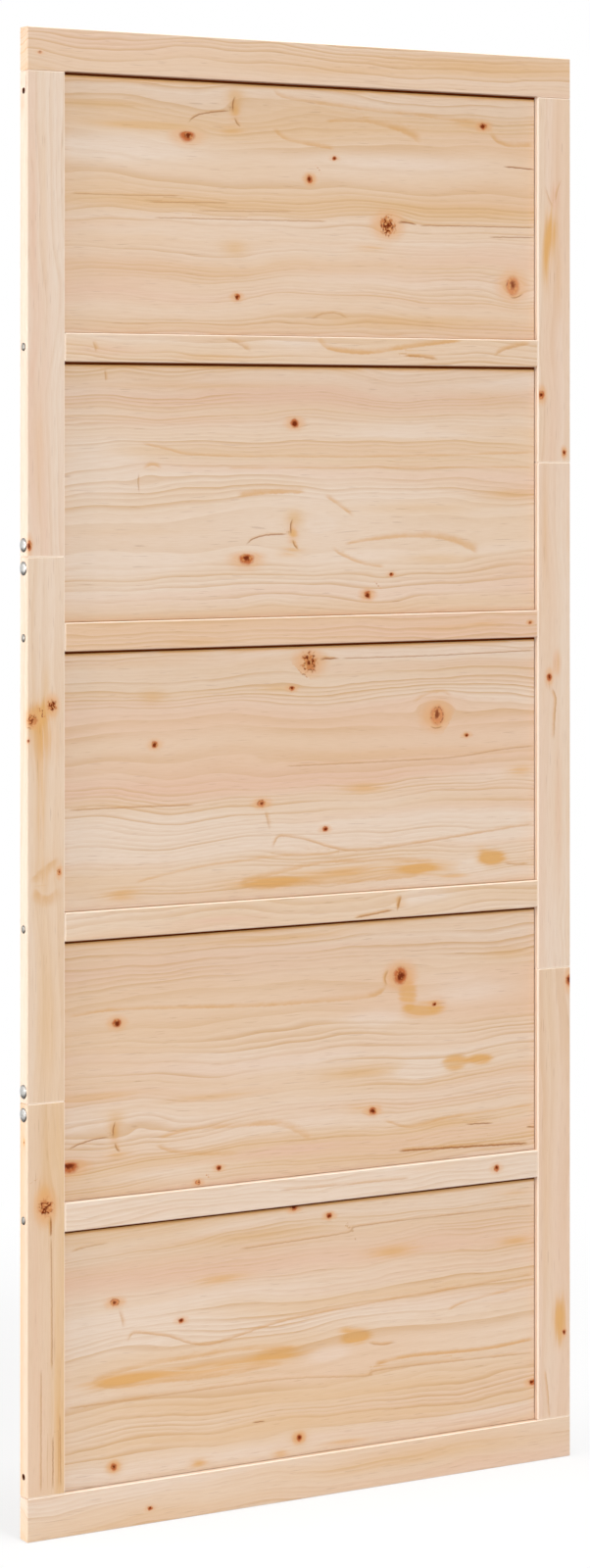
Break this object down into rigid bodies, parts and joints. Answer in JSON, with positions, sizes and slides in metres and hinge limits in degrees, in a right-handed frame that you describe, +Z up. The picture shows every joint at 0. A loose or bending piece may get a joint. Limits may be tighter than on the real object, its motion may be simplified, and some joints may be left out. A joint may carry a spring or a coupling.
{
  "type": "barn door",
  "caption": "Tall pine barn door leaf: flat recessed panels held in a frame of full-width end rails, cross rails and jointed stiles, with bolts and screws in its long edges.",
  "frame": {"origin": "centre of the top rail's front face, where the hanger straps of a sliding track are fastened", "axes": "+Z up along the door's height, +Y into its thickness so that the front face looks along -Y, +X to the right as the front is seen"},
  "size_m": [0.9044, 0.023, 2.08],
  "materials": {
    "pine_rail": "satin",
    "pine_stile": "satin",
    "pine_panel": "satin",
    "bolt_steel": "satin",
    "screw_steel": "satin"
  },
  "bodies": {
    "root": {"top_rail": "pine_rail", "bottom_rail": "pine_rail", "cross_rail_1": "pine_rail", "cross_rail_2": "pine_rail", "cross_rail_3": "pine_rail", "cross_rail_4": "pine_rail", "left_stile_upper": "pine_stile", "left_stile_middle": "pine_stile", "left_stile_lower": "pine_stile", "right_stile_upper": "pine_stile", "right_stile_middle": "pine_stile", "right_stile_lower": "pine_stile", "panel_1": "pine_panel", "panel_2": "pine_panel", "panel_3": "pine_panel", "panel_4": "pine_panel", "panel_5": "pine_panel", "left_bolt_1": "bolt_steel", "left_bolt_2": "bolt_steel", "left_bolt_3": "bolt_steel", "left_bolt_4": "bolt_steel", "right_bolt_1": "bolt_steel", "right_bolt_2": "bolt_steel", "right_bolt_3": "bolt_steel", "right_bolt_4": "bolt_steel", "left_rail_screw_1": "screw_steel", "left_rail_screw_2": "screw_steel", "left_rail_screw_3": "screw_steel", "left_rail_screw_4": "screw_steel", "right_rail_screw_1": "screw_steel", "right_rail_screw_2": "screw_steel", "right_rail_screw_3": "screw_steel", "right_rail_screw_4": "screw_steel"}
  },
  "joints": []
}
